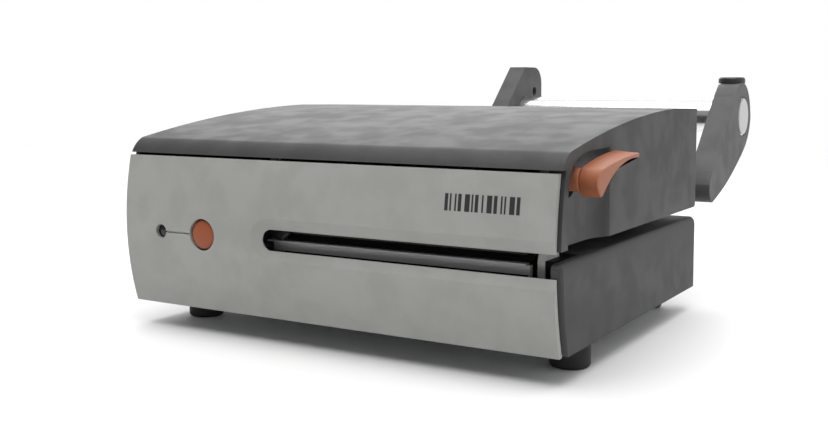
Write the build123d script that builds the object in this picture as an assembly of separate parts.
from build123d import *
from math import atan2, cos, hypot, pi, radians, sin, sqrt
import os

# Compact label printer that loads its labels from the right side, with a roll holder behind it.
# While modelling, X runs to the right from the body's middle, Y runs back from the front panel's
# lower edge and Z runs up from the floor. At the end every piece moves by the same amount, so that
# the origin is at the bottom centre of the whole. Millimetres.

# Body
HALF_WIDTH = 120.0
DEPTH = 187.6
FOOT_HEIGHT = 13.0
DECK_TOP = 52.4
UPPER_BOTTOM = 57.8
LEFT_SEAM = 57.5
WALL = 2.5
GAP = 0.3
EDGE_RADIUS = 2.5
SIDE_CORNER_R = 5.0
FRONT_CHAMFER = 2.2
INNER_X = HALF_WIDTH - WALL
INNER_REAR = DEPTH - WALL
LAP = 1.0
FAR = 40.0

# Front panel: one arc seen from the side
PANEL_TOP = 89.3
PANEL_TOP_Y = -2.7
PANEL_SAG = 5.25
PANEL_THICK = 3.0
PANEL_RIGHT = 118.3
PANEL_GAP = 0.6
SLOT_Z = 51.6
SLOT_R = 5.1
SLOT_END_X = -27.5
BEVEL_R = 10.0
BEVEL_DEPTH = 2.6
BUTTON_X = -68.7
LENS_X = -95.9
CONTROLS_Z = 51.5
BUTTON_HOLE_R = 7.9
BUTTON_FLANGE_R = 9.2
BUTTON_R = 7.15
BUTTON_TRAVEL = 1.2
LENS_HOLE_R = 3.5
GROOVE_W = 0.9
GROOVE_DEEP = 0.8

# Cover, seen from the side
LIP = (-1.8, 90.6)
LIP_MID = (0.9, 94.6)
SHOULDER = (6.0, 98.0)
CROWN_MID = (66.0, 107.4)
CROWN_END = (145.0, 112.8)
COVER_REAR_Z = 112.2
TOP_CORNER_R = 4.0

# Recess for the lever
RECESS_FRONT_Y = 1.8
RECESS_EDGE = [(3.3, 75.6), (8.5, 91.7), (25.9, 97.1)]
RECESS_X = 115.0
RECESS_FLAT_Y = 34.0
RECESS_END_Y = 51.0
RECESS_TOP_Z = 98.0
LEVER_HOLE_R = 7.8

# Chassis
CHASSIS_X0 = -38.0
CHASSIS_X1 = -34.0
CHASSIS_FRONT = 9.5
PLATE = 1.5
EAR_X0 = 106.0
EAR_X1 = 110.0
EAR_FRONT = 7.0
EAR_REAR = 70.0
FRAME_SCREW_Z = 68.0

# Opening in the deck over the platen, and the housing's thicker end beside it
DECK_CUT_REAR = 28.0
RIB_X = 115.4
RIB_REAR = 12.0
RIB_BOTTOM = 30.0

# Tear bar
BAR_X0 = -33.7
BAR_X1 = 102.2
BAR_FRONT = 6.0
BAR_THICK = 1.5
BAR_BOTTOM = 45.4
BAR_TOP = 49.5
BAR_LIP_X0 = -37.2
BAR_LIP_X1 = 100.4
BAR_LIP_TOP = 50.2
BAR_LEG_W = 1.6
BAR_LEG_THICK = 1.2
BAR_EAR_Z = (30.0, 36.0)

# Platen
PLATEN_Y = 17.0
PLATEN_R = 8.0
PLATEN_Z = 44.6
PLATEN_X0 = -30.0
PLATEN_X1 = 100.0
PLATEN_SHAFT_R = 3.0
RUN_FIT = 0.05
PULLEY_R = 12.0
MOTOR_PULLEY_R = 5.0
MOTOR_Y = 52.0
MOTOR_Z = 37.0
MOTOR_SIZE = 42.0
MOTOR_X0 = -98.0
MOTOR_X1 = -64.0
MOTOR_BOSS_R = 11.0
MOTOR_PLATE = 2.0
PULLEY_X0 = -56.0
PULLEY_X1 = -50.0
BELT_THICK = 1.2
BEARING_R = 5.0
FLANGE_R = 7.6
FLANGE_TOP = 50.0
BRACKET_X0 = 107.6
BRACKET_X1 = 111.2
RIGHT_FLANGE_X = 104.0
LEFT_FLANGE_X = -32.0
SHAFT_X1 = 111.0
BRACKET_TOP = 51.5

# Lever and print head
LEVER_Y = 15.6
LEVER_Z = 85.8
LEVER_SHAFT_R = 4.0
HUB_R = 5.0
HUB_X0 = 112.9
PADDLE_X0 = 120.6
PADDLE_X1 = 130.5
BUSH_R = 6.0
CAM_R = 7.5
CAM_OFFSET = 2.5
CAM_ANGLE = -50.0
PIVOT_Y = 62.0
PIVOT_Z = 66.0
HEAD_X0 = -28.0
HEAD_X1 = 100.0

# Roll holder
ARM_X1 = 120.0
ARM_THICK = 13.0
LEFT_ARM_X0 = -44.0
LEFT_ARM_X1 = -32.0
LEFT_ARM_TOP = 137.8
LEFT_ARM_REAR = 317.0
LEFT_ARM_R = 12.0
SPINDLE_Y = 289.8
SPINDLE_Z = 105.1
SPINDLE_R = 12.0
CAP_X1 = 120.5
CAP_R = 11.4
KNOB_X = 112.3
KNOB_Z0 = 127.0
KNOB_Z1 = 130.0
KNOB_R = 8.2
PIN_R = 1.3
NECK_R = 4.5
NECK_Z0 = 119.5

# Screws
SCREW_R = 1.5
SCREW_HEAD_R = 2.8
SCREW_HEAD_H = 1.8
HEX_R = 1.3
HOLE_R = 1.7

# The panel's arc: radius and centre from its two ends and its sag
CHORD = hypot(PANEL_TOP_Y, PANEL_TOP - FOOT_HEIGHT)
ARC_R = CHORD ** 2 / (8 * PANEL_SAG) + PANEL_SAG / 2
LEAN = atan2(-PANEL_TOP_Y, PANEL_TOP - FOOT_HEIGHT)
ARC_Y = PANEL_TOP_Y / 2 + cos(LEAN) * (ARC_R - PANEL_SAG)
ARC_Z = (PANEL_TOP + FOOT_HEIGHT) / 2 + sin(LEAN) * (ARC_R - PANEL_SAG)


def face_y(z):
    """Y of the front panel's outer face at height z."""
    return ARC_Y - sqrt(ARC_R ** 2 - (z - ARC_Z) ** 2)


def block(x0, x1, y0, y1, z0, z1):
    """A box between two corners."""
    return Pos((x0 + x1) / 2, (y0 + y1) / 2, (z0 + z1) / 2) * Box(x1 - x0, y1 - y0, z1 - z0)


def rod_x(r, x0, x1, y, z):
    return Pos((x0 + x1) / 2, y, z) * Rot(0, 90, 0) * Cylinder(r, x1 - x0)


def rod_y(r, y0, y1, x, z):
    return Pos(x, (y0 + y1) / 2, z) * Rot(90, 0, 0) * Cylinder(r, y1 - y0)


def rod_z(r, z0, z1, x, y):
    return Pos(x, y, (z0 + z1) / 2) * Cylinder(r, z1 - z0)


def slab(edges, x0, x1):
    """A side outline in Y and Z carried from x0 to x1."""
    return extrude(Plane.YZ.offset(x0) * make_face(edges), x1 - x0)


def front_arc(z0, z1, back):
    """The panel's arc from z0 to z1, moved back."""
    heights = (z0, (z0 + z1) / 2, z1)
    return ThreePointArc(*[(face_y(z) + back, z) for z in heights])


def group(solids):
    """Several separate solids in one node."""
    return Compound([s.solid() for s in solids])


def edges_at(part, axis, **place):
    """Edges along an axis whose middle is at the given x, y or z."""
    found = part.edges().filter_by(axis)
    for name, value in place.items():
        found = [e for e in found if abs(getattr(e.center(), name.upper()) - value) < 0.1]
    return ShapeList(found)


def screw(length):
    """A hex socket screw: shank up from 0, head below 0."""
    shank = Pos(0, 0, length / 2) * Cylinder(SCREW_R, length)
    head = Pos(0, 0, -SCREW_HEAD_H / 2) * Cylinder(SCREW_HEAD_R, SCREW_HEAD_H)
    socket = Pos(0, 0, -SCREW_HEAD_H) * extrude(RegularPolygon(HEX_R, 6), SCREW_HEAD_H / 2)
    return shank + head - socket


# Housings

BASE_SCREWS = [(x, y) for x in (-114.0, 114.0) for y in (55.0, 150.0)]
MOUNT_HOLES = [(x, y) for x in (-80.0, 80.0) for y in (60.0, 160.0)]
FRONT_FEET = [(-104.0, 35.0), (107.0, 39.0)]
REAR_FEET = [(-98.0, 179.0), (98.0, 179.0)]
FRONT_FOOT_R = 9.3
REAR_FOOT_R = 6.0
SPACERS = [(y, z) for y in (30.0, 150.0) for z in (38.0, 52.0)]
HOLDER_SCREWS = [(x, z) for x in (-64.0, -50.0) for z in (66.0, 84.0)]
FRAME_SCREWS = [80.0, 120.0, 160.0]
REAR_SCREWS = [40.0, 105.0]
REAR_SCREW_Z = 64.0
SKIRT_REAR = 20.0
SWITCH = (-103.0, -85.0, 65.0, 77.0)
PORTS = {
    "power_inlet": (-111.5, -99.0, 17.5, 27.5),
    "ethernet_port": (-111.5, -95.5, 30.0, 43.5),
    "usb_port": (-111.5, -99.5, 45.5, 55.5),
}
BOSS_R = 4.0
BOSS_TOP = 30.0
GUIDE_SLOT_Y = 140.0
GUIDE_SLOT_W = 4.0
GUIDE_SLOT_X = (8.0, 104.0)
MOUNT_HOLE_R = 2.25
VENTS = 8
VENT_X = -70.0
VENT_PITCH = 3.6
VENT_W = 1.6
VENT_Y = (95.0, 135.0)
SENSOR_X = (-10.0, 2.0)
SENSOR_Y = (76.0, 88.0)


def sensor_window(z0, z1):
    """The opening round a gap sensor."""
    return block(SENSOR_X[0] - 0.6, SENSOR_X[1] + 0.6, SENSOR_Y[0] - 0.6, SENSOR_Y[1] + 0.6, z0, z1)


def rear_corner(z, r, side):
    """What is cut away to round a rear edge: side is 1 for a top edge and -1 for a bottom edge."""
    middle = z - side * r
    low, high = sorted((middle, z + side * LAP))
    corner = block(-HALF_WIDTH - LAP, HALF_WIDTH + LAP, DEPTH - r, DEPTH + LAP, low, high)
    return corner - rod_x(r, -HALF_WIDTH - LAP, HALF_WIDTH + LAP, DEPTH - r, middle)


def housing_solid(top, x0, x1):
    """A solid behind the panel from the bottom to a height, with its front lower edge cut back."""
    back = PANEL_THICK + PANEL_GAP
    low = FOOT_HEIGHT + FRONT_CHAMFER
    front = face_y(top) + back
    heel = face_y(FOOT_HEIGHT) + back + FRONT_CHAMFER
    return slab([
        front_arc(low, top, back),
        Line((front, top), (DEPTH, top)),
        Line((DEPTH, top), (DEPTH, FOOT_HEIGHT)),
        Line((DEPTH, FOOT_HEIGHT), (heel, FOOT_HEIGHT)),
        Line((heel, FOOT_HEIGHT), (face_y(low) + back, low)),
    ], x0, x1)


def lower_housing():
    inner_top = DECK_TOP - WALL
    front = face_y(DECK_TOP) + PANEL_THICK + PANEL_GAP
    right = housing_solid(DECK_TOP, CHASSIS_X0, HALF_WIDTH) - rear_corner(DECK_TOP, SIDE_CORNER_R, 1)
    right = fillet(edges_at(right, Axis.Z, x=HALF_WIDTH, y=DEPTH), EDGE_RADIUS)
    right = fillet(edges_at(right, Axis.X, y=front, z=DECK_TOP), EDGE_RADIUS)
    left = housing_solid(LEFT_SEAM, -HALF_WIDTH, CHASSIS_X0)
    left = fillet(edges_at(left, Axis.Z, x=-HALF_WIDTH, y=DEPTH), EDGE_RADIUS)
    body = right + left
    rib = housing_solid(inner_top, RIB_X, INNER_X + LAP)
    rib &= block(RIB_X, INNER_X + LAP, -FAR, RIB_REAR, RIB_BOTTOM, inner_top)
    body -= block(-INNER_X, INNER_X, -FAR, INNER_REAR, 0, inner_top)
    body -= block(-INNER_X, CHASSIS_X1 + GAP, -FAR, INNER_REAR, 0, LEFT_SEAM + LAP)
    body -= block(CHASSIS_X1, RIB_X, -FAR, DECK_CUT_REAR, inner_top - LAP, DECK_TOP + LAP)
    body += rib
    for x, y in BASE_SCREWS:
        body += rod_z(BOSS_R, FOOT_HEIGHT + PLATE, BOSS_TOP, x, y)
        body -= rod_z(SCREW_R + RUN_FIT, FOOT_HEIGHT, BOSS_TOP - WALL, x, y)
    slot = (GUIDE_SLOT_Y - GUIDE_SLOT_W / 2, GUIDE_SLOT_Y + GUIDE_SLOT_W / 2)
    body -= block(GUIDE_SLOT_X[0], GUIDE_SLOT_X[1], *slot, inner_top - LAP, DECK_TOP + LAP)
    body -= sensor_window(inner_top - LAP, DECK_TOP + LAP)
    for x0, x1, z0, z1 in PORTS.values():
        body -= block(x0 - GAP, x1 + GAP, INNER_REAR - LAP, DEPTH + LAP, z0 - GAP, z1 + GAP)
    return body


def base_plate():
    plate = block(-INNER_X + GAP, INNER_X - GAP, 4.5, INNER_REAR - GAP, FOOT_HEIGHT, FOOT_HEIGHT + PLATE)
    for x, y in BASE_SCREWS:
        plate -= rod_z(HOLE_R, 0, FAR, x, y)
    for x, y in MOUNT_HOLES:
        plate -= rod_z(MOUNT_HOLE_R, 0, FAR, x, y)
    for i in range(VENTS):
        x = VENT_X + i * VENT_PITCH
        plate -= block(x, x + VENT_W, *VENT_Y, 0, FAR)
    return plate


def foot(r, x, y):
    rubber = rod_z(r, 0, FOOT_HEIGHT, x, y)
    return chamfer(rubber.edges().group_by(Axis.Z)[0], 0.8)


def cover_outline(inset):
    """The cover's side outline, moved inwards by inset."""
    back = PANEL_THICK + PANEL_GAP + inset
    low = LIP[1] + inset
    rear = DEPTH - inset
    start = (face_y(low) + back, low)
    shoulder = (SHOULDER[0] + inset, SHOULDER[1] - inset)
    edges = [front_arc(UPPER_BOTTOM, low, back)]
    if inset:
        edges.append(Line(start, shoulder))
    else:
        edges.append(Line(start, LIP))
        edges.append(ThreePointArc(LIP, LIP_MID, shoulder))
    mid = (CROWN_MID[0], CROWN_MID[1] - inset)
    end = (CROWN_END[0], CROWN_END[1] - inset)
    corner = (rear, COVER_REAR_Z - inset)
    edges.append(ThreePointArc(shoulder, mid, end))
    edges.append(Line(end, corner))
    edges.append(Line(corner, (rear, UPPER_BOTTOM)))
    edges.append(Line((rear, UPPER_BOTTOM), (face_y(UPPER_BOTTOM) + back, UPPER_BOTTOM)))
    return edges


def recess():
    """The hollow for the lever: a side outline cut by a plan outline."""
    bottom = UPPER_BOTTOM - FAR
    side = slab([
        Spline((RECESS_FRONT_Y, bottom), *RECESS_EDGE, (RECESS_END_Y, RECESS_TOP_Z)),
        Line((RECESS_END_Y, RECESS_TOP_Z), (RECESS_END_Y, bottom)),
        Line((RECESS_END_Y, bottom), (RECESS_FRONT_Y, bottom)),
    ], RECESS_X - FAR, HALF_WIDTH + LAP)
    depth = HALF_WIDTH - RECESS_X
    curve_r = (depth ** 2 + (RECESS_END_Y - RECESS_FLAT_Y) ** 2) / (2 * depth)
    mid_y = (RECESS_FLAT_Y + RECESS_END_Y) / 2
    mid_x = RECESS_X + curve_r - sqrt(curve_r ** 2 - (mid_y - RECESS_FLAT_Y) ** 2)
    plan = make_face([
        Line((RECESS_X, -FAR), (RECESS_X, RECESS_FLAT_Y)),
        ThreePointArc((RECESS_X, RECESS_FLAT_Y), (mid_x, mid_y), (HALF_WIDTH, RECESS_END_Y)),
        Line((HALF_WIDTH, RECESS_END_Y), (HALF_WIDTH + FAR, RECESS_END_Y + FAR)),
        Line((HALF_WIDTH + FAR, RECESS_END_Y + FAR), (HALF_WIDTH + FAR, -FAR)),
        Line((HALF_WIDTH + FAR, -FAR), (RECESS_X, -FAR)),
    ])
    return side & extrude(plan, LEFT_ARM_TOP)


def top_cover():
    body = slab(cover_outline(0), -HALF_WIDTH, HALF_WIDTH)
    for x in (-HALF_WIDTH, HALF_WIDTH):
        body = fillet(edges_at(body, Axis.Z, x=x, y=DEPTH), EDGE_RADIUS)
    body -= rear_corner(COVER_REAR_Z, TOP_CORNER_R, 1)
    body -= rear_corner(UPPER_BOTTOM, SIDE_CORNER_R, -1)
    hollow = slab(cover_outline(WALL), -INNER_X, INNER_X)
    hollow += block(-INNER_X, INNER_X, -FAR, SKIRT_REAR, UPPER_BOTTOM - LAP, LIP[1] - GAP)
    hollow -= block(RECESS_X - WALL, HALF_WIDTH, -FAR, RECESS_END_Y + WALL, 0, LEFT_ARM_TOP)
    body -= hollow
    body -= recess()
    body -= rod_x(LEVER_HOLE_R, RECESS_X - WALL - LAP, HALF_WIDTH, LEVER_Y, LEVER_Z)
    for x, z in HOLDER_SCREWS:
        body -= rod_y(HOLE_R, INNER_REAR - LAP, DEPTH + LAP, x, z)
    for x in REAR_SCREWS:
        body -= rod_y(HOLE_R, INNER_REAR - LAP, DEPTH + LAP, x, REAR_SCREW_Z)
    x0, x1, z0, z1 = SWITCH
    body -= block(x0 - GAP, x1 + GAP, INNER_REAR - LAP, DEPTH + LAP, z0 - GAP, z1 + GAP)
    return body


def stadium(r, y):
    """A slot outline standing at depth y, round at its left end and open past the right side."""
    far_x = HALF_WIDTH + FAR
    outline = [
        ThreePointArc((SLOT_END_X, SLOT_Z + r), (SLOT_END_X - r, SLOT_Z), (SLOT_END_X, SLOT_Z - r)),
        Line((SLOT_END_X, SLOT_Z - r), (far_x, SLOT_Z - r)),
        Line((far_x, SLOT_Z - r), (far_x, SLOT_Z + r)),
        Line((far_x, SLOT_Z + r), (SLOT_END_X, SLOT_Z + r)),
    ]
    return Plane(origin=(0, y, 0), x_dir=(1, 0, 0), z_dir=(0, -1, 0)) * make_face(outline)


def front_panel():
    bottom, top = FOOT_HEIGHT, PANEL_TOP
    body = slab([
        front_arc(bottom, top, 0),
        Line((face_y(top), top), (face_y(top) + PANEL_THICK, top)),
        front_arc(bottom, top, PANEL_THICK),
        Line((face_y(bottom) + PANEL_THICK, bottom), (face_y(bottom), bottom)),
    ], -HALF_WIDTH, PANEL_RIGHT)
    face = face_y(SLOT_Z)
    drop = BEVEL_R ** 2 / (2 * ARC_R)
    widen = (BEVEL_R - SLOT_R) / (BEVEL_DEPTH - drop)
    body -= loft([
        stadium(BEVEL_R + widen * (LAP + drop), face - LAP),
        stadium(SLOT_R, face + BEVEL_DEPTH),
    ])
    body -= extrude(stadium(SLOT_R, FAR), FAR * 2)
    body -= rod_y(BUTTON_HOLE_R, -FAR, FAR, BUTTON_X, CONTROLS_Z)
    body -= rod_y(LENS_HOLE_R, -FAR, FAR, LENS_X, CONTROLS_Z)
    groove_y = face_y(CONTROLS_Z) + GROOVE_DEEP
    z0 = CONTROLS_Z - GROOVE_W / 2
    body -= block(LENS_X, BUTTON_X, -FAR, groove_y, z0, z0 + GROOVE_W)
    return body


# Controls

BOARD_Y = 4.0
BUTTON_BOARD_X = (-108.0, -58.0)
BUTTON_BOARD_Z = (40.0, 62.0)
BOARD_THICK = 1.6


def feed_button():
    face = face_y(CONTROLS_Z)
    cap = rod_y(BUTTON_R, face - 0.2, -1.2, BUTTON_X, CONTROLS_Z)
    cap = fillet(cap.edges().group_by(Axis.Y)[0], 1.0)
    return cap + rod_y(BUTTON_FLANGE_R, face + PANEL_THICK + 0.8, -1.2, BUTTON_X, CONTROLS_Z)


def feed_switch():
    body = block(BUTTON_X - 3, BUTTON_X + 3, 1.0, BOARD_Y, CONTROLS_Z - 3, CONTROLS_Z + 3)
    return body + rod_y(1.6, BUTTON_TRAVEL - 0.9, 1.0, BUTTON_X, CONTROLS_Z)


def status_lens():
    return rod_y(LENS_HOLE_R - 0.05, face_y(CONTROLS_Z) + 1.2, -1.0, LENS_X, CONTROLS_Z)


def button_board():
    board = block(*BUTTON_BOARD_X, BOARD_Y, BOARD_Y + BOARD_THICK, *BUTTON_BOARD_Z)
    return board + block(LENS_X - 2, LENS_X + 2, 0, BOARD_Y, CONTROLS_Z - 2, CONTROLS_Z + 2)


def lever_profile(x, points):
    a, b, c, d, e, f, g, h = points
    edges = [Spline(a, b, c), Spline(c, d, e), Line(e, f), Spline(f, g, h, a)]
    return Plane.YZ.offset(x) * make_face(edges)


def lever_handle():
    inner = [(14.4, 79.0), (12.6, 83.5), (15.5, 91.0), (33.0, 94.2),
             (53.1, 96.1), (53.2, 94.6), (34.0, 91.5), (19.0, 85.0)]
    outer = [(13.7, 79.1), (9.1, 86.5), (13.5, 90.3), (31.0, 92.9),
             (60.3, 94.8), (60.4, 93.2), (36.0, 90.6), (20.5, 84.7)]
    paddle = loft([lever_profile(PADDLE_X0, inner), lever_profile(PADDLE_X1, outer)], ruled=True)
    return paddle + rod_x(HUB_R, HUB_X0, PADDLE_X0 + 0.5, LEVER_Y, LEVER_Z)


def lever_cams():
    y = LEVER_Y + CAM_OFFSET * cos(radians(CAM_ANGLE))
    z = LEVER_Z + CAM_OFFSET * sin(radians(CAM_ANGLE))
    discs = [rod_x(CAM_R, x, x + 8, y, z) for x in (0.0, 66.0)]
    return group([d - rod_x(LEVER_SHAFT_R, -FAR, FAR * 3, LEVER_Y, LEVER_Z) for d in discs])


def ring_x(outer, inner, x0, x1, y, z):
    return rod_x(outer, x0, x1, y, z) - rod_x(inner, x0 - LAP, x1 + LAP, y, z)


def lever_bushes():
    inner = LEVER_SHAFT_R + RUN_FIT
    spans = [(CHASSIS_X0, CHASSIS_X1), (EAR_X0, EAR_X1)]
    return group([ring_x(BUSH_R, inner, x0, x1, LEVER_Y, LEVER_Z) for x0, x1 in spans])


# Frame

PLATE_BOTTOM = FOOT_HEIGHT + PLATE
PLATE_REAR = 184.5
PLATE_REAR_TOP = 108.0
PLATE_FRONT_TOP = 93.0
TAB_X0 = -70.0
CABLE_SLOT_Y = (24.0, 44.0)
CABLE_SLOT_Z = (62.0, 70.0)
EAR_TOP = 93.0
EAR_SHOULDER = 74.0
EAR_STEP = 25.0
RAIL_TOP = 75.0
REAR_TAB_X = (30.0, 112.0)
REAR_TAB_TOP = 70.0


def chassis_plate():
    body = slab(Polyline(
        (CHASSIS_FRONT, PLATE_BOTTOM), (PLATE_REAR, PLATE_BOTTOM), (PLATE_REAR, PLATE_REAR_TOP),
        (60.0, 103.0), (30.0, 98.0), (CHASSIS_FRONT, PLATE_FRONT_TOP),
        (CHASSIS_FRONT, PLATE_BOTTOM)), CHASSIS_X0, CHASSIS_X1)
    body -= rod_x(BEARING_R, -FAR * 2, 0, PLATEN_Y, PLATEN_Z)
    body -= rod_x(BUSH_R, -FAR * 2, 0, LEVER_Y, LEVER_Z)
    body -= rod_x(PLATEN_SHAFT_R, -FAR * 2, 0, PIVOT_Y, PIVOT_Z)
    body -= block(-FAR * 2, 0, *CABLE_SLOT_Y, *CABLE_SLOT_Z)
    for y in FRAME_SCREWS:
        body -= rod_x(HOLE_R, -FAR * 2, 0, y, FRAME_SCREW_Z)
    body += block(TAB_X0, CHASSIS_X0, PLATE_REAR - WALL, PLATE_REAR, 60, 100)
    for x, z in HOLDER_SCREWS:
        body -= rod_y(HOLE_R, 180, 190, x, z)
    return body


def upper_frame():
    left, right = CHASSIS_X1, INNER_X - GAP
    body = block(left, right, 54.0, INNER_REAR - GAP, UPPER_BOTTOM, UPPER_BOTTOM + WALL)
    body += block(left, left + 2, 72, 176, UPPER_BOTTOM, RAIL_TOP)
    body += block(EAR_X0, EAR_X1, EAR_FRONT, EAR_REAR, UPPER_BOTTOM, EAR_SHOULDER)
    body += block(EAR_X0, EAR_X1, EAR_FRONT, EAR_STEP, EAR_SHOULDER, EAR_TOP)
    body += block(*REAR_TAB_X, 182.3, INNER_REAR - GAP, UPPER_BOTTOM, REAR_TAB_TOP)
    body -= rod_x(BUSH_R, 100, 120, LEVER_Y, LEVER_Z)
    body -= rod_x(PLATEN_SHAFT_R, 100, 120, PIVOT_Y, PIVOT_Z)
    body -= sensor_window(50.0, 70.0)
    for y in FRAME_SCREWS:
        body -= rod_x(SCREW_R + RUN_FIT, -FAR, 0, y, FRAME_SCREW_Z)
    for x in REAR_SCREWS:
        body -= rod_y(SCREW_R + RUN_FIT, 180, 190, x, REAR_SCREW_Z)
    return body


def platen_bracket():
    body = block(BRACKET_X0, BRACKET_X1, CHASSIS_FRONT, DECK_CUT_REAR - LAP, PLATE_BOTTOM, BRACKET_TOP)
    return body - rod_x(BEARING_R, BRACKET_X0 - LAP, BRACKET_X1 + LAP, PLATEN_Y, PLATEN_Z)


def platen_bearing(x0, x1, flange_x0, flange_x1, top):
    """A flanged bush. The flange is round, or an upright oval where top is above the axis."""
    body = rod_x(BEARING_R, x0, x1, PLATEN_Y, PLATEN_Z)
    body += rod_x(FLANGE_R, flange_x0, flange_x1, PLATEN_Y, PLATEN_Z)
    if top > PLATEN_Z:
        body += rod_x(FLANGE_R, flange_x0, flange_x1, PLATEN_Y, top)
        body += block(flange_x0, flange_x1, PLATEN_Y - FLANGE_R, PLATEN_Y + FLANGE_R, PLATEN_Z, top)
    return body - rod_x(PLATEN_SHAFT_R + RUN_FIT, x0 - FAR, x1 + FAR, PLATEN_Y, PLATEN_Z)


def tear_bar():
    """A bar hanging free in front of the platen, with a leg and a fixing ear behind each end."""
    back = BAR_FRONT + BAR_THICK
    low, high = BAR_EAR_Z
    body = block(BAR_X0, BAR_X1, BAR_FRONT, back, BAR_BOTTOM, BAR_TOP)
    body += block(BAR_LIP_X0, BAR_LIP_X1, BAR_FRONT - 0.4, back + 1.7, BAR_TOP, BAR_LIP_TOP)
    for x in (BAR_X0, BAR_X1 - BAR_LEG_W):
        body += block(x, x + BAR_LEG_W, back, back + BAR_LEG_THICK, low, BAR_TOP)
    body += block(CHASSIS_X0, BAR_X0 + BAR_LEG_W, back, CHASSIS_FRONT, low, high)
    return body + block(BAR_X1 - BAR_LEG_W, BRACKET_X0 + 2, back, CHASSIS_FRONT, low, high)


def edge_rail():
    return block(CHASSIS_X1, -31.5, 76, 180, DECK_TOP, UPPER_BOTTOM - GAP)


def edge_guide():
    y = GUIDE_SLOT_Y
    body = block(92, 94, y - 18, y + 18, DECK_TOP + GAP, 57.3)
    body += block(92, 102, y - 1.7, y + 1.7, 48.3, DECK_TOP + GAP + 0.8)
    return body + block(90, 103, y - 5, y + 5, 47.5, DECK_TOP - WALL - GAP)


def gap_sensor(z0, z1):
    return block(*SENSOR_X, *SENSOR_Y, z0, z1)


# Label drive

def platen_rubber():
    return ring_x(PLATEN_R, PLATEN_SHAFT_R, PLATEN_X0, PLATEN_X1, PLATEN_Y, PLATEN_Z)


def platen_shaft():
    return rod_x(PLATEN_SHAFT_R, PULLEY_X0, SHAFT_X1, PLATEN_Y, PLATEN_Z)


def toothed_pulley(r, teeth, bore, y, z):
    body = ring_x(r, bore, PULLEY_X0, PULLEY_X1, y, z)
    for i in range(teeth):
        turn = 2 * pi * i / teeth
        body -= rod_x(0.5, PULLEY_X0 - LAP, PULLEY_X1 + LAP, y + r * cos(turn), z + r * sin(turn))
    return body


def belt_loop(grow, x0, x1):
    """The outline round both pulleys: two discs and the tangent band between them."""
    big, small = PULLEY_R + grow, MOTOR_PULLEY_R + grow
    dy, dz = MOTOR_Y - PLATEN_Y, MOTOR_Z - PLATEN_Z
    line = atan2(dz, dy)
    spread = pi / 2 - atan2(PULLEY_R - MOTOR_PULLEY_R, sqrt(dy ** 2 + dz ** 2 - (big - small) ** 2))
    band = []
    for y, z, r, turns in ((PLATEN_Y, PLATEN_Z, big, (1, -1)), (MOTOR_Y, MOTOR_Z, small, (-1, 1))):
        band += [(y + r * cos(line + t * spread), z + r * sin(line + t * spread)) for t in turns]
    body = slab(Polyline(*band, band[0]), x0, x1)
    return body + rod_x(big, x0, x1, PLATEN_Y, PLATEN_Z) + rod_x(small, x0, x1, MOTOR_Y, MOTOR_Z)


def timing_belt():
    outer = belt_loop(GAP + BELT_THICK, PULLEY_X0 + 0.5, PULLEY_X1 - 0.5)
    return outer - belt_loop(GAP, PULLEY_X0 - LAP, PULLEY_X1 + LAP)


def stepper_motor():
    """The motor's can with bevelled corners and its round boss."""
    half = MOTOR_SIZE / 2
    body = block(MOTOR_X0, MOTOR_X1, MOTOR_Y - half, MOTOR_Y + half, MOTOR_Z - half, MOTOR_Z + half)
    body = chamfer(body.edges().filter_by(Axis.X), 4.0)
    return body + rod_x(MOTOR_BOSS_R, MOTOR_X1, MOTOR_X1 + MOTOR_PLATE, MOTOR_Y, MOTOR_Z)


def motor_bracket():
    """An angle: an upright plate round the motor's boss, and a foot under the motor."""
    half = MOTOR_SIZE / 2
    floor = PLATE_BOTTOM
    inner = MOTOR_X1 + MOTOR_PLATE
    body = block(MOTOR_X1, inner, MOTOR_Y - half, MOTOR_Y + half, floor, MOTOR_Z + half)
    body -= rod_x(MOTOR_BOSS_R, MOTOR_X0, 0, MOTOR_Y, MOTOR_Z)
    return body + block(MOTOR_X1 - 20, inner, MOTOR_Y - half, MOTOR_Y + half, floor, MOTOR_Z - half)


def motor_pulley():
    body = toothed_pulley(MOTOR_PULLEY_R, 12, 2.5, MOTOR_Y, MOTOR_Z)
    return body + rod_x(2.5, -61.5, PULLEY_X1, MOTOR_Y, MOTOR_Z)


# Print head

HEAD_FRONT = 12.0
HEAD_REAR = 46.0
HEAD_BOTTOM = 56.5
HEAD_TOP = 66.0
THERMAL_BOTTOM = 53.0
FINS = 14
FIN_PITCH = 8.6
FIN_GAP = 4.0
HEAD_EARS = (-26.0, 92.0)
HEAD_EAR_W = 6.0
PRESSURE_Z = 74.0
SPRINGS = (4.0, 36.0, 70.0)
SPRING_Y = 18.0


def head_block():
    """A finned block with two ears that the pivot rod passes through."""
    body = block(HEAD_X0, HEAD_X1, HEAD_FRONT, HEAD_REAR, HEAD_BOTTOM, HEAD_TOP)
    for i in range(FINS):
        x = HEAD_X0 + 6 + i * FIN_PITCH
        body -= block(x, x + FIN_GAP, 27, 43, 60, HEAD_TOP + LAP)
    for x in HEAD_EARS:
        body += block(x, x + HEAD_EAR_W, HEAD_REAR - 2, 68, 61.5, 71)
    return body - rod_x(PLATEN_SHAFT_R + RUN_FIT, -FAR, FAR * 3, PIVOT_Y, PIVOT_Z)


def thermal_head():
    body = block(HEAD_X0 + 2, HEAD_X1 - 2, HEAD_FRONT - 1, 30, THERMAL_BOTTOM, HEAD_BOTTOM)
    return chamfer(edges_at(body, Axis.X, y=HEAD_FRONT - 1, z=THERMAL_BOTTOM), 1.0)


def head_springs():
    coils = []
    for x in SPRINGS:
        path = Pos(x, SPRING_Y, HEAD_TOP + 0.6) * Helix(pitch=1.6, height=6.4, radius=3.2)
        section = Plane(origin=path @ 0, z_dir=path % 0) * Circle(0.45)
        coils.append(sweep(section, path))
    return group(coils)


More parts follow.
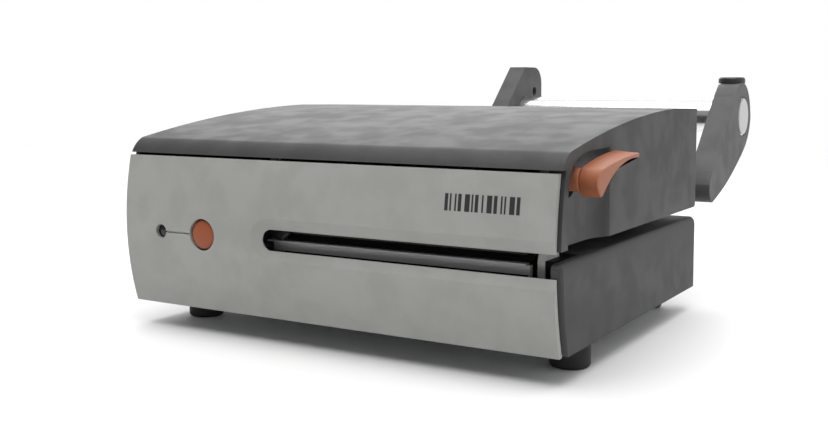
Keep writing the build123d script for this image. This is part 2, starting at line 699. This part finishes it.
def pressure_plate():
    return block(-6, 82, HEAD_FRONT, 25, PRESSURE_Z, PRESSURE_Z + 2)


def pivot_rod():
    return rod_x(PLATEN_SHAFT_R, CHASSIS_X0, EAR_X1, PIVOT_Y, PIVOT_Z)


# Electronics

BOARD_X0 = -114.0
BOARD_X1 = BOARD_X0 + BOARD_THICK
BOARD_SIZE_Y = (22.0, 168.0)
BOARD_SIZE_Z = (32.0, 88.0)
CABLE_Y = 43.0
CABLE_W = 18.0
PORT_FRONT = 168.5


def main_board():
    board = block(BOARD_X0, BOARD_X1, *BOARD_SIZE_Y, *BOARD_SIZE_Z)
    for y, z in SPACERS:
        board -= rod_x(HOLE_R, BOARD_X0 - LAP, BOARD_X1 + LAP, y, z)
    return board


def board_parts():
    face = BOARD_X1
    parts = [block(face, face + 1.6, 96, 116, 34, 54), block(face, face + 1.2, 124, 138, 36, 50)]
    parts += [block(face, face + 1.2, 124, 138, 56 + i * 11, 64 + i * 11) for i in range(2)]
    parts += [rod_x(4.0, face, face + 11, 84 + i * 11, 74) for i in range(3)]
    parts += [block(face, face + 6, 26, 46, 64, 68)]
    return group(parts)


def port(name, wall, pit):
    x0, x1, z0, z1 = PORTS[name]
    body = block(x0, x1, PORT_FRONT, DEPTH + GAP, z0, z1)
    return body - block(x0 + wall, x1 - wall, DEPTH + GAP - pit, DEPTH + LAP, z0 + wall, z1 - wall)


def head_cable():
    top = Polyline((HEAD_X0 - 0.6, 66.0), (-60.0, 67.0), (-85.0, 65.8), (BOARD_X1 + 6, 66.0),
                   (BOARD_X1 + 6, 65.4), (-85.0, 65.2), (-60.0, 66.4), (HEAD_X0 - 0.6, 65.4),
                   (HEAD_X0 - 0.6, 66.0))
    ribbon = Plane(origin=(0, CABLE_Y, 0), x_dir=(1, 0, 0), z_dir=(0, -1, 0)) * make_face(top)
    return extrude(ribbon, CABLE_W)


SWITCH_FRONT = 172.0
SWITCH_PIT = 178.0
SWITCH_RIM = 2.0
SWITCH_RIM_THICK = 1.4
ROCKER_Y = 184.0
ROCKER_R = 4.3
ROCKER_HALF = 6.0
ROCKER_TILT = 8.0


def power_switch():
    x0, x1, z0, z1 = SWITCH
    rim = SWITCH_RIM
    body = block(x0, x1, SWITCH_FRONT, DEPTH, z0, z1)
    body += block(x0 - rim, x1 + rim, DEPTH, DEPTH + SWITCH_RIM_THICK, z0 - rim, z1 + rim)
    return body - block(x0 + rim, x1 - rim, SWITCH_PIT, DEPTH + FAR, z0 + 1.4, z1 - 1.4)


def power_rocker():
    """A dished rocker, resting tilted to one end."""
    x0, x1, z0, z1 = SWITCH
    inset = SWITCH_RIM + RUN_FIT * 8
    disc = rod_x(ROCKER_R, x0 + inset, x1 - inset, 0, 0)
    face = slab(Polyline(
        (SWITCH_PIT - ROCKER_Y, -ROCKER_HALF), (3.9, -ROCKER_HALF), (2.6, 0), (3.9, ROCKER_HALF),
        (SWITCH_PIT - ROCKER_Y, ROCKER_HALF), (SWITCH_PIT - ROCKER_Y, -ROCKER_HALF)), x0, x1)
    return Pos(0, ROCKER_Y, (z0 + z1) / 2) * Rot(-ROCKER_TILT, 0, 0) * (disc & face)


# Roll holder

BRACKET_THICK = 4.0
HOLDER_ARM_Y = 215.0
HOLDER_ARM_Z = (60.0, 68.0)
LEFT_ARM_HOLE = (304.7, 120.6)
LEFT_ARM_HOLE_R = 3.1
KEY_SLOT_W = 3.4
KEY_SLOT_Z = 114.6
PIN_Z0 = 115.2


def right_arm_edges():
    return [
        Spline((277.6, 125.1), (255.0, 107.0), (233.8, 87.5), (221.7, 76.5), (214.9, 67.7)),
        Spline((214.9, 67.7), (215.6, 60.4), (221.2, 56.5)),
        Spline((221.2, 56.5), (249.5, 64.4), (282.4, 78.2), (305.4, 94.3), (309.3, 104.0)),
        Spline((309.3, 104.0), (299.9, 122.0), (287.5, 126.7)),
        Line((287.5, 126.7), (277.6, 125.1)),
    ]


def right_arm():
    body = slab(right_arm_edges(), ARM_X1 - ARM_THICK, ARM_X1)
    body -= rod_x(SPINDLE_R + RUN_FIT, 100, 125, SPINDLE_Y, SPINDLE_Z)
    mouth = Cone(SPINDLE_R, SPINDLE_R + LAP, LAP)
    body -= Pos(ARM_X1 - LAP / 2, SPINDLE_Y, SPINDLE_Z) * Rot(0, 90, 0) * mouth
    body -= rod_z(PIN_R + 0.2, 112, 140, KNOB_X, SPINDLE_Y)
    return body - rod_z(NECK_R + GAP, NECK_Z0 - GAP, 140, KNOB_X, SPINDLE_Y)


def release_knob():
    disc = rod_z(KNOB_R, KNOB_Z0, KNOB_Z1, KNOB_X, SPINDLE_Y)
    disc = chamfer(disc.edges().group_by(Axis.Z)[-1], 0.8)
    pin = rod_z(PIN_R, PIN_Z0, KNOB_Z0, KNOB_X, SPINDLE_Y)
    return disc + rod_z(NECK_R, NECK_Z0, KNOB_Z0, KNOB_X, SPINDLE_Y) + pin


def left_arm():
    rear_mid = LEFT_ARM_R * (1 - cos(pi / 4))
    body = slab([
        Line((288.6, LEFT_ARM_TOP), (LEFT_ARM_REAR - LEFT_ARM_R, LEFT_ARM_TOP)),
        ThreePointArc((LEFT_ARM_REAR - LEFT_ARM_R, LEFT_ARM_TOP),
                      (LEFT_ARM_REAR - rear_mid, LEFT_ARM_TOP - rear_mid),
                      (LEFT_ARM_REAR, LEFT_ARM_TOP - LEFT_ARM_R)),
        Line((LEFT_ARM_REAR, LEFT_ARM_TOP - LEFT_ARM_R), (LEFT_ARM_REAR, 100.0)),
        Spline((LEFT_ARM_REAR, 100.0), (300.0, 82.0), (262.0, 68.0), (222.0, 58.0),
               tangents=[(0, -1), (-4, -1)]),
        Line((222.0, 58.0), (HOLDER_ARM_Y, HOLDER_ARM_Z[0])),
        Line((HOLDER_ARM_Y, HOLDER_ARM_Z[0]), (HOLDER_ARM_Y, HOLDER_ARM_Z[1])),
        Line((HOLDER_ARM_Y, HOLDER_ARM_Z[1]), (288.6, LEFT_ARM_TOP)),
    ], LEFT_ARM_X0, LEFT_ARM_X1)
    body -= rod_x(LEFT_ARM_HOLE_R, -FAR * 2, 0, *LEFT_ARM_HOLE)
    return body - rod_x(SPINDLE_R, -FAR * 2, 0, SPINDLE_Y, SPINDLE_Z)


def spindle():
    body = rod_x(SPINDLE_R, LEFT_ARM_X0, ARM_X1 - 0.5, SPINDLE_Y, SPINDLE_Z)
    slot = (SPINDLE_Y - KEY_SLOT_W / 2, SPINDLE_Y + KEY_SLOT_W / 2)
    return body - block(LEFT_ARM_X1, ARM_X1 + LAP, *slot, KEY_SLOT_Z, LEFT_ARM_TOP)


def spindle_end_cap():
    cap = rod_x(CAP_R, ARM_X1 - 0.5, CAP_X1, SPINDLE_Y, SPINDLE_Z)
    return fillet(cap.edges().group_by(Axis.X)[-1], 0.4)


def holder_bracket():
    back = DEPTH + BRACKET_THICK
    body = block(TAB_X0, LEFT_ARM_X1, DEPTH, back, HOLDER_ARM_Z[0], 92)
    body += block(LEFT_ARM_X0, LEFT_ARM_X1, back, HOLDER_ARM_Y, *HOLDER_ARM_Z)
    for x, z in HOLDER_SCREWS:
        body -= rod_y(HOLE_R, DEPTH - LAP, back + LAP, x, z)
    return body


def fasteners_z(places, z, length):
    return group([Pos(x, y, z) * screw(length) for x, y in places])


def fasteners_y(places, y, length):
    return group([Pos(x, y, z) * Rot(90, 0, 0) * screw(length) for x, z in places])


def fasteners_x(places, x, length, turn):
    return group([Pos(x, y, z) * Rot(0, turn, 0) * screw(length) for y, z in places])


NODES = {
    "lower_housing": lower_housing(),
    "base_plate": base_plate(),
    "top_cover": top_cover(),
    "front_panel": front_panel(),
    "front_feet": group([foot(FRONT_FOOT_R, x, y) for x, y in FRONT_FEET]),
    "rear_feet": group([foot(REAR_FOOT_R, x, y) for x, y in REAR_FEET]),
    "base_screws": fasteners_z(BASE_SCREWS, FOOT_HEIGHT, 12.0),
    "chassis_plate": chassis_plate(),
    "upper_frame": upper_frame(),
    "frame_screws": fasteners_x([(y, FRAME_SCREW_Z) for y in FRAME_SCREWS], CHASSIS_X0, 5.6, 90),
    "cover_screws": fasteners_y([(x, REAR_SCREW_Z) for x in REAR_SCREWS], DEPTH, 5.0),
    "feed_button": feed_button(),
    "feed_switch": feed_switch(),
    "status_lens": status_lens(),
    "button_board": button_board(),
    "lever_handle": lever_handle(),
    "lever_shaft": rod_x(LEVER_SHAFT_R, -40.0, HUB_X0, LEVER_Y, LEVER_Z),
    "lever_cams": lever_cams(),
    "lever_bushes": lever_bushes(),
    "tear_bar": tear_bar(),
    "edge_rail": edge_rail(),
    "edge_guide": edge_guide(),
    "lower_gap_sensor": gap_sensor(46.0, DECK_TOP - 0.4),
    "upper_gap_sensor": gap_sensor(UPPER_BOTTOM + 0.4, 64.0),
    "platen_rubber": platen_rubber(),
    "platen_shaft": platen_shaft(),
    "platen_pulley": toothed_pulley(PULLEY_R, 29, PLATEN_SHAFT_R, PLATEN_Y, PLATEN_Z),
    "platen_bracket": platen_bracket(),
    "left_platen_bearing": platen_bearing(CHASSIS_X0, CHASSIS_X1, CHASSIS_X1, LEFT_FLANGE_X, PLATEN_Z),
    "right_platen_bearing": platen_bearing(BRACKET_X0, BRACKET_X1, RIGHT_FLANGE_X, BRACKET_X0, FLANGE_TOP),
    "timing_belt": timing_belt(),
    "stepper_motor": stepper_motor(),
    "motor_bracket": motor_bracket(),
    "motor_pulley": motor_pulley(),
    "head_block": head_block(),
    "thermal_head": thermal_head(),
    "head_springs": head_springs(),
    "pressure_plate": pressure_plate(),
    "pivot_rod": pivot_rod(),
    "main_board": main_board(),
    "board_parts": board_parts(),
    "board_spacers": group([ring_x(3.0, HOLE_R, -INNER_X, BOARD_X0, y, z) for y, z in SPACERS]),
    "board_screws": fasteners_x(SPACERS, BOARD_X1, 4.6, -90),
    "head_cable": head_cable(),
    "power_inlet": port("power_inlet", 1.2, 10.0),
    "ethernet_port": port("ethernet_port", 1.5, 14.0),
    "usb_port": port("usb_port", 1.2, 12.0),
    "power_switch": power_switch(),
    "power_rocker": power_rocker(),
    "left_arm": left_arm(),
    "right_arm": right_arm(),
    "spindle": spindle(),
    "spindle_end_cap": spindle_end_cap(),
    "release_knob": release_knob(),
    "holder_bracket": holder_bracket(),
    "holder_screws": fasteners_y(HOLDER_SCREWS, DEPTH + BRACKET_THICK, 9.0),
}

# The whole runs from the left side to the paddle's outer end, and from the panel's bulge to the
# left arm's rear edge.
MID_X = (PADDLE_X1 - HALF_WIDTH) / 2
MID_Y = (ARC_Y - ARC_R + LEFT_ARM_REAR) / 2

os.makedirs("parts", exist_ok=True)
for name, shape in NODES.items():
    moved = [Pos(-MID_X, -MID_Y, 0) * solid for solid in shape.solids()]
    export_step(Compound(moved), f"parts/{name}.step")
print("origin at", round(MID_X, 4), round(MID_Y, 4), "nodes", len(NODES))
